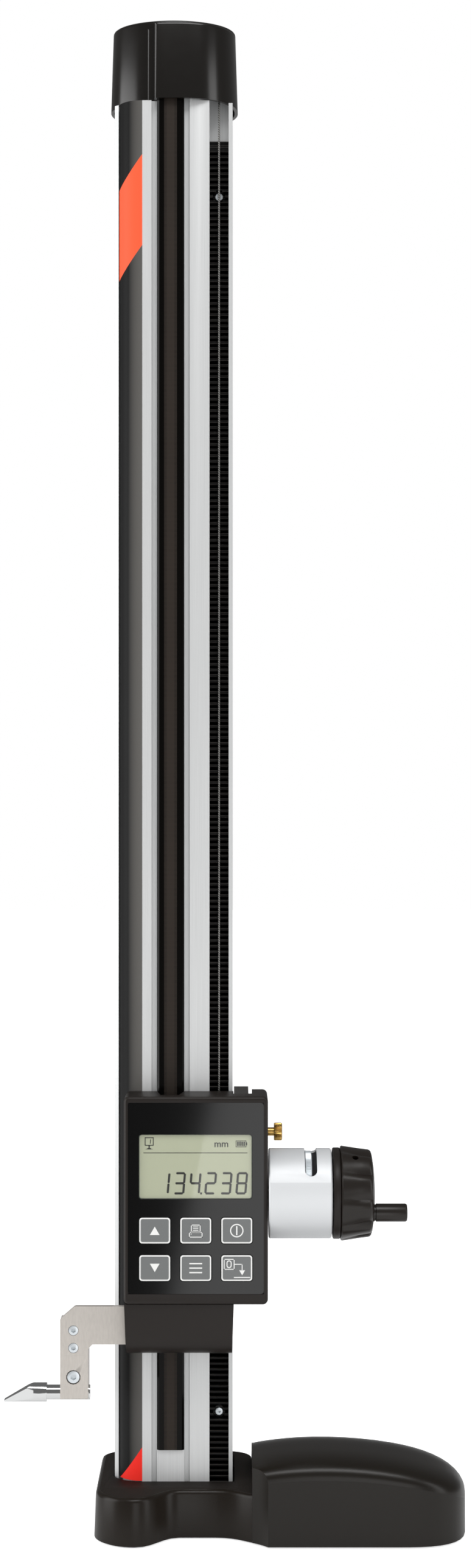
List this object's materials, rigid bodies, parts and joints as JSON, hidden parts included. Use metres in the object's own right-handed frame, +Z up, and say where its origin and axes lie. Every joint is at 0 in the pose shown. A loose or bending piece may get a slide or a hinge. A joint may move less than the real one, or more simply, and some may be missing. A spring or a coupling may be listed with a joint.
{
  "type": "digital height gauge",
  "caption": "Column height gauge: cast base with palm grip, counterweighted carriage with display, keys, drive knob with crank and clamped probe.",
  "frame": {"origin": "on the surface that the gauge stands on, under the middle of the column's ground front face", "axes": "+Z up along the column, +X towards the drive knob and the palm grip, +Y from the display to the column's back"},
  "size_m": [0.2921, 0.112, 0.9605],
  "materials": {
    "casting_paint": "semi-gloss dark brown-black",
    "grip_moulding": "fine matt",
    "cap_moulding": "gloss",
    "housing_moulding": "satin",
    "ground_steel": "ground",
    "aluminium": "satin anodised",
    "satin_nickel": "satin nickel",
    "dark_steel": "blackened",
    "zinc_steel": "bright zinc",
    "cast_iron": "as cast",
    "brass": "turned",
    "bronze": "turned",
    "black_texture": "fine grain",
    "scale_black": "satin",
    "scale_glass": "smooth",
    "key_grey": "matt",
    "panel_film": "smooth film",
    "display_window": "clear",
    "display_cell": "smooth",
    "board_laminate": "matt",
    "polymer": "smooth"
  },
  "bodies": {
    "stand": {"base_casting": "casting_paint", "ground_sole": "ground_steel", "grip_cover": "grip_moulding", "column_bolt_1": "dark_steel", "column_bolt_2": "dark_steel", "column_bolt_3": "dark_steel", "column_bolt_4": "dark_steel", "column": "aluminium", "side_panel": "black_texture", "scale_strip": "scale_black", "scale_band": "scale_glass", "rack": "dark_steel", "rack_screw_upper": "zinc_steel", "rack_screw_lower": "zinc_steel", "pulley_frame": "zinc_steel", "pulley_axle": "ground_steel", "cap": "cap_moulding", "cable_over_pulley": "zinc_steel", "cable_front": "zinc_steel", "cable_rear": "zinc_steel"},
    "carriage": {"carriage_frame": "casting_paint", "guide_shoe_lower": "bronze", "guide_shoe_upper": "bronze", "roller_pin_lower": "ground_steel", "roller_pin_upper": "ground_steel", "reading_head": "scale_black", "cable_anchor": "zinc_steel", "display_housing": "housing_moulding", "display_panel": "panel_film", "display_window": "display_window", "lcd_module": "display_cell", "circuit_board": "board_laminate", "lower_cover": "housing_moulding", "arm_plate": "satin_nickel", "arm_screw_upper": "zinc_steel", "arm_screw_lower": "zinc_steel", "probe_block": "satin_nickel", "clamp_screw": "zinc_steel", "probe": "ground_steel", "fine_adjust_sleeve": "aluminium", "shaft_bush": "bronze"},
    "counterweight": {"counterweight": "cast_iron"},
    "pulley": {"pulley": "polymer"},
    "roller_lower": {"guide_roller_lower": "ground_steel"},
    "roller_upper": {"guide_roller_upper": "ground_steel"},
    "drive_knob": {"drive_shaft": "ground_steel", "fine_wheel": "zinc_steel", "knob_flange": "housing_moulding", "knob": "housing_moulding", "knob_set_screw": "dark_steel", "crank_axle": "ground_steel"},
    "crank_handle": {"crank_handle": "housing_moulding"},
    "lock_screw": {"lock_screw": "brass"},
    "key_1": {"key_1": "key_grey"},
    "key_2": {"key_2": "key_grey"},
    "key_3": {"key_3": "key_grey"},
    "key_4": {"key_4": "key_grey"},
    "key_5": {"key_5": "key_grey"},
    "key_6": {"key_6": "key_grey"}
  },
  "joints": [
    {"name": "carriage_slide", "type": "slide", "parent": "stand", "child": "carriage", "axis": [0, 0, 1], "range_m": [-0.0823, 0.6287], "deforming": ["cable_front"]},
    {"name": "counterweight_slide", "type": "slide", "parent": "stand", "child": "counterweight", "axis": [0, 0, 1], "range_m": [-0.6287, 0.0823], "deforming": ["cable_rear"]},
    {"name": "pulley_spin", "type": "hinge", "parent": "stand", "child": "pulley", "pos_m": [0.01755, 0.02305, 0.93935], "axis": [0.7463, 0.6656, 0], "continuous": true},
    {"name": "roller_lower_spin", "type": "hinge", "parent": "carriage", "child": "roller_lower", "pos_m": [0.04233, 0.02, 0.1728], "axis": [0, 1, 0], "continuous": true},
    {"name": "roller_upper_spin", "type": "hinge", "parent": "carriage", "child": "roller_upper", "pos_m": [0.04233, 0.02, 0.2536], "axis": [0, 1, 0], "continuous": true},
    {"name": "knob_spin", "type": "hinge", "parent": "carriage", "child": "drive_knob", "pos_m": [0.1, -0.00365, 0.2141], "axis": [1, 0, 0], "continuous": true},
    {"name": "crank_spin", "type": "hinge", "parent": "drive_knob", "child": "crank_handle", "pos_m": [0.135, -0.01881, 0.2044], "axis": [1, 0, 0], "continuous": true},
    {"name": "lock_screw_turn", "type": "hinge", "parent": "carriage", "child": "lock_screw", "pos_m": [0.06, 0.012, 0.2508], "axis": [1, 0, 0], "range_deg": [-90, 180]},
    {"name": "key_1_press", "type": "slide", "parent": "carriage", "child": "key_1", "axis": [0, 1, 0], "range_m": [0, 0.00035], "stiffness_N_per_m": 700},
    {"name": "key_2_press", "type": "slide", "parent": "carriage", "child": "key_2", "axis": [0, 1, 0], "range_m": [0, 0.00035], "stiffness_N_per_m": 700},
    {"name": "key_3_press", "type": "slide", "parent": "carriage", "child": "key_3", "axis": [0, 1, 0], "range_m": [0, 0.00035], "stiffness_N_per_m": 700},
    {"name": "key_4_press", "type": "slide", "parent": "carriage", "child": "key_4", "axis": [0, 1, 0], "range_m": [0, 0.00035], "stiffness_N_per_m": 700},
    {"name": "key_5_press", "type": "slide", "parent": "carriage", "child": "key_5", "axis": [0, 1, 0], "range_m": [0, 0.00035], "stiffness_N_per_m": 700},
    {"name": "key_6_press", "type": "slide", "parent": "carriage", "child": "key_6", "axis": [0, 1, 0], "range_m": [0, 0.00035], "stiffness_N_per_m": 700}
  ],
  "couplings": [
    {"joint": "counterweight_slide", "follows": "carriage_slide", "ratio": -1},
    {"joint": "pulley_spin", "follows": "carriage_slide", "rad_per_m": -57.629},
    {"joint": "roller_lower_spin", "follows": "carriage_slide", "rad_per_m": -222.22},
    {"joint": "roller_upper_spin", "follows": "carriage_slide", "rad_per_m": -222.22},
    {"joint": "knob_spin", "follows": "carriage_slide", "rad_per_m": -62.112}
  ]
}
